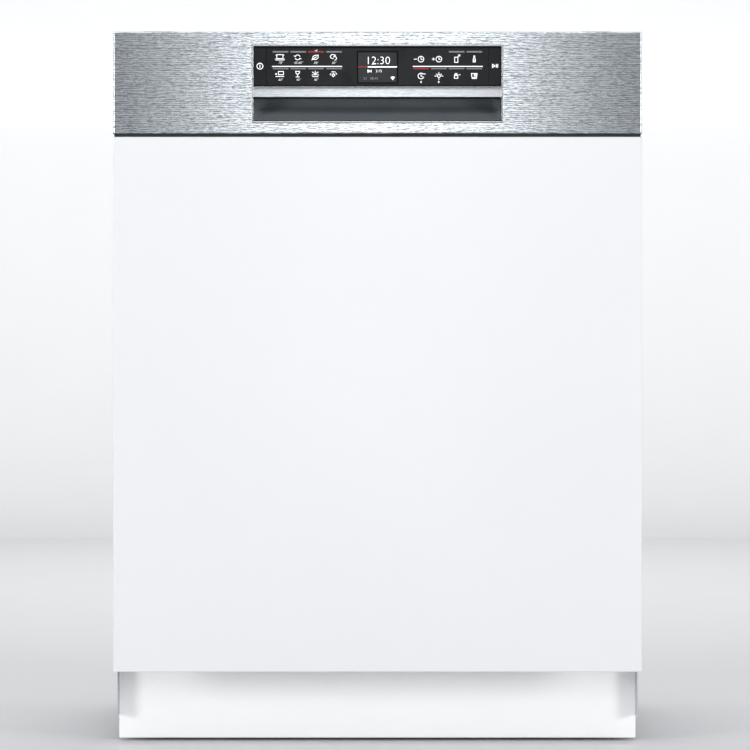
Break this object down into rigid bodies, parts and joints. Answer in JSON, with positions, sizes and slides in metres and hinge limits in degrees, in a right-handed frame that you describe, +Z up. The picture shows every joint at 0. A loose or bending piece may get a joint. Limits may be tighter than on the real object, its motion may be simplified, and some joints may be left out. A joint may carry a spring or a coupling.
{
  "type": "built-in dishwasher",
  "caption": "Semi-integrated dishwasher with a brushed fascia and touch display above a white drop-down front, racks on rails, cutlery tray, and a recessed white plinth.",
  "frame": {"origin": "on the floor, under the middle of the appliance's outline", "axes": "+Z up, -Y towards the user at the front, +X to the user's right"},
  "size_m": [0.598, 0.573, 0.815],
  "materials": {
    "lacquered_board": "satin lacquer",
    "brushed_fascia": "brushed along its length",
    "satin_trim": "satin",
    "dark_glass": "gloss, printed",
    "display_glass": "gloss",
    "dark_moulding": "fine grain",
    "carrier_moulding": "fine grain",
    "galvanised_sheet": "zinc coat",
    "stainless_sheet": "rolled satin",
    "base_moulding": "fine grain",
    "hinge_steel": "zinc plate",
    "felt": "felt",
    "seal_rubber": "matte",
    "rack_wire": "nylon coat",
    "rack_plastic": "satin",
    "spray_plastic": "satin",
    "dispenser_plastic": "satin",
    "foot_plastic": "satin",
    "connector_plastic": "satin"
  },
  "bodies": {
    "cabinet": {"base_tray": "base_moulding", "rear_connections": "connector_plastic", "toe_panel": "lacquered_board", "tub_wrap": "stainless_sheet", "tub_back": "stainless_sheet", "tub_floor": "stainless_sheet", "tub_front_frame": "stainless_sheet", "door_gasket": "seal_rubber", "riser_pipe": "spray_plastic", "insulation_mat": "felt", "side_panels": "galvanised_sheet", "rear_panel": "galvanised_sheet", "top_braces": "galvanised_sheet", "sump": "base_moulding", "pumps": "foot_plastic", "fine_filter": "stainless_sheet", "salt_container": "base_moulding", "fixed_rails": "hinge_steel", "hinge_brackets": "hinge_steel", "door_springs": "hinge_steel"},
    "door": {"outer_door_sheet": "galvanised_sheet", "inner_door_panel": "stainless_sheet", "door_screws": "hinge_steel", "furniture_front": "lacquered_board", "fascia_plate": "brushed_fascia", "fascia_carrier": "carrier_moulding", "grip_strip": "satin_trim", "grip_pocket": "dark_moulding", "touch_panel": "dark_glass", "display_window": "display_glass", "control_module": "base_moulding", "door_lock": "dark_moulding", "dispenser_body": "dispenser_plastic", "hinge_arms": "hinge_steel"},
    "power_key": {"power_key": "dark_glass"},
    "start_key": {"start_key": "dark_glass"},
    "detergent_lid": {"detergent_lid": "dispenser_plastic"},
    "rinse_aid_cap": {"rinse_aid_cap": "dispenser_plastic"},
    "lower_rack": {"lower_rack_basket": "rack_wire"},
    "left_tines": {"left_tine_row": "rack_wire"},
    "right_tines": {"right_tine_row": "rack_wire"},
    "front_left_wheel": {"front_left_wheel": "rack_plastic"},
    "front_right_wheel": {"front_right_wheel": "rack_plastic"},
    "rear_left_wheel": {"rear_left_wheel": "rack_plastic"},
    "rear_right_wheel": {"rear_right_wheel": "rack_plastic"},
    "upper_rack": {"upper_rack_basket": "rack_wire", "inner_rails": "hinge_steel", "upper_spray_feed": "spray_plastic"},
    "middle_rails": {"middle_rails": "hinge_steel"},
    "upper_spray_arm": {"upper_spray_arm": "spray_plastic"},
    "left_cup_shelf": {"left_cup_shelf": "rack_plastic"},
    "right_cup_shelf": {"right_cup_shelf": "rack_plastic"},
    "cutlery_tray": {"cutlery_tray": "rack_plastic"},
    "lower_spray_arm": {"lower_spray_arm": "spray_plastic"},
    "coarse_filter": {"coarse_filter": "spray_plastic"},
    "salt_cap": {"salt_cap": "rack_plastic"},
    "front_left_foot": {"front_left_foot": "foot_plastic"},
    "front_right_foot": {"front_right_foot": "foot_plastic"},
    "rear_foot": {"rear_foot": "foot_plastic"},
    "rear_foot_adjuster": {"rear_foot_adjuster": "hinge_steel"}
  },
  "joints": [
    {"name": "door_hinge", "type": "hinge", "parent": "cabinet", "child": "door", "pos_m": [0, -0.2246, 0.118], "axis": [1, 0, 0], "range_deg": [0, 90], "stiffness_Nm_per_rad": 25, "springref_deg": -8.59, "deforming": ["door_springs"]},
    {"name": "power_key_press", "type": "slide", "parent": "door", "child": "power_key", "axis": [0, 1, 0], "range_m": [0, 0.0012], "stiffness_N_per_m": 400},
    {"name": "start_key_press", "type": "slide", "parent": "door", "child": "start_key", "axis": [0, 1, 0], "range_m": [0, 0.0012], "stiffness_N_per_m": 400},
    {"name": "detergent_lid_slide", "type": "slide", "parent": "door", "child": "detergent_lid", "axis": [1, 0, 0], "range_m": [0, 0.062]},
    {"name": "rinse_aid_flap", "type": "hinge", "parent": "door", "child": "rinse_aid_cap", "pos_m": [0.079, -0.2074, 0.391], "axis": [-1, 0, 0], "range_deg": [0, 100]},
    {"name": "lower_rack_slide", "type": "slide", "parent": "cabinet", "child": "lower_rack", "axis": [0, -1, 0], "range_m": [0, 0.115]},
    {"name": "left_tines_fold", "type": "hinge", "parent": "lower_rack", "child": "left_tines", "pos_m": [-0.205, 0, 0.16935], "axis": [0, 1, 0], "range_deg": [0, 78]},
    {"name": "right_tines_fold", "type": "hinge", "parent": "lower_rack", "child": "right_tines", "pos_m": [0.205, 0, 0.16935], "axis": [0, -1, 0], "range_deg": [0, 78]},
    {"name": "front_left_wheel_spin", "type": "hinge", "parent": "lower_rack", "child": "front_left_wheel", "pos_m": [-0.269, -0.0946, 0.1565], "axis": [1, 0, 0], "continuous": true},
    {"name": "rear_left_wheel_spin", "type": "hinge", "parent": "lower_rack", "child": "rear_left_wheel", "pos_m": [-0.269, 0.138, 0.1565], "axis": [1, 0, 0], "continuous": true},
    {"name": "front_right_wheel_spin", "type": "hinge", "parent": "lower_rack", "child": "front_right_wheel", "pos_m": [0.269, -0.0946, 0.1565], "axis": [1, 0, 0], "continuous": true},
    {"name": "rear_right_wheel_spin", "type": "hinge", "parent": "lower_rack", "child": "rear_right_wheel", "pos_m": [0.269, 0.138, 0.1565], "axis": [1, 0, 0], "continuous": true},
    {"name": "upper_rack_slide", "type": "slide", "parent": "cabinet", "child": "upper_rack", "axis": [0, -1, 0], "range_m": [0, 0.43]},
    {"name": "middle_rails_slide", "type": "slide", "parent": "cabinet", "child": "middle_rails", "axis": [0, -1, 0], "range_m": [0, 0.215]},
    {"name": "upper_spray_spin", "type": "hinge", "parent": "upper_rack", "child": "upper_spray_arm", "pos_m": [0, 0.0282, 0.42445], "axis": [0, 0, 1], "continuous": true},
    {"name": "lower_spray_spin", "type": "hinge", "parent": "cabinet", "child": "lower_spray_arm", "pos_m": [0, 0.0282, 0.144], "axis": [0, 0, 1], "continuous": true},
    {"name": "left_cup_shelf_fold", "type": "hinge", "parent": "upper_rack", "child": "left_cup_shelf", "pos_m": [-0.2395, 0, 0.51275], "axis": [0, -1, 0], "range_deg": [0, 85]},
    {"name": "right_cup_shelf_fold", "type": "hinge", "parent": "upper_rack", "child": "right_cup_shelf", "pos_m": [0.2395, 0, 0.51275], "axis": [0, 1, 0], "range_deg": [0, 85]},
    {"name": "cutlery_tray_slide", "type": "slide", "parent": "cabinet", "child": "cutlery_tray", "axis": [0, -1, 0], "range_m": [0, 0.3]},
    {"name": "coarse_filter_twist", "type": "hinge", "parent": "cabinet", "child": "coarse_filter", "pos_m": [0.095, -0.0588, 0.1], "axis": [0, 0, 1], "range_deg": [0, 90]},
    {"name": "salt_cap_turn", "type": "hinge", "parent": "cabinet", "child": "salt_cap", "pos_m": [-0.15, -0.0918, 0.13], "axis": [0, 0, 1], "range_deg": [0, 270]},
    {"name": "front_left_foot_height", "type": "slide", "parent": "cabinet", "child": "front_left_foot", "axis": [0, 0, -1], "range_m": [0, 0.06]},
    {"name": "front_right_foot_height", "type": "slide", "parent": "cabinet", "child": "front_right_foot", "axis": [0, 0, -1], "range_m": [0, 0.06]},
    {"name": "rear_foot_height", "type": "slide", "parent": "cabinet", "child": "rear_foot", "axis": [0, 0, -1], "range_m": [0, 0.06]},
    {"name": "rear_foot_adjuster_turn", "type": "hinge", "parent": "cabinet", "child": "rear_foot_adjuster", "pos_m": [0.022, 0, 0.038], "axis": [0, 1, 0], "range_deg": [0, 3600]}
  ],
  "couplings": [
    {"joint": "lower_rack_slide", "follows": "door_hinge", "m_per_rad": 0.07},
    {"joint": "upper_rack_slide", "follows": "door_hinge", "m_per_rad": 0.27},
    {"joint": "middle_rails_slide", "follows": "door_hinge", "m_per_rad": 0.135},
    {"joint": "cutlery_tray_slide", "follows": "door_hinge", "m_per_rad": 0.19},
    {"joint": "rear_foot_height", "follows": "rear_foot_adjuster_turn", "m_per_rad": 0.00095}
  ]
}
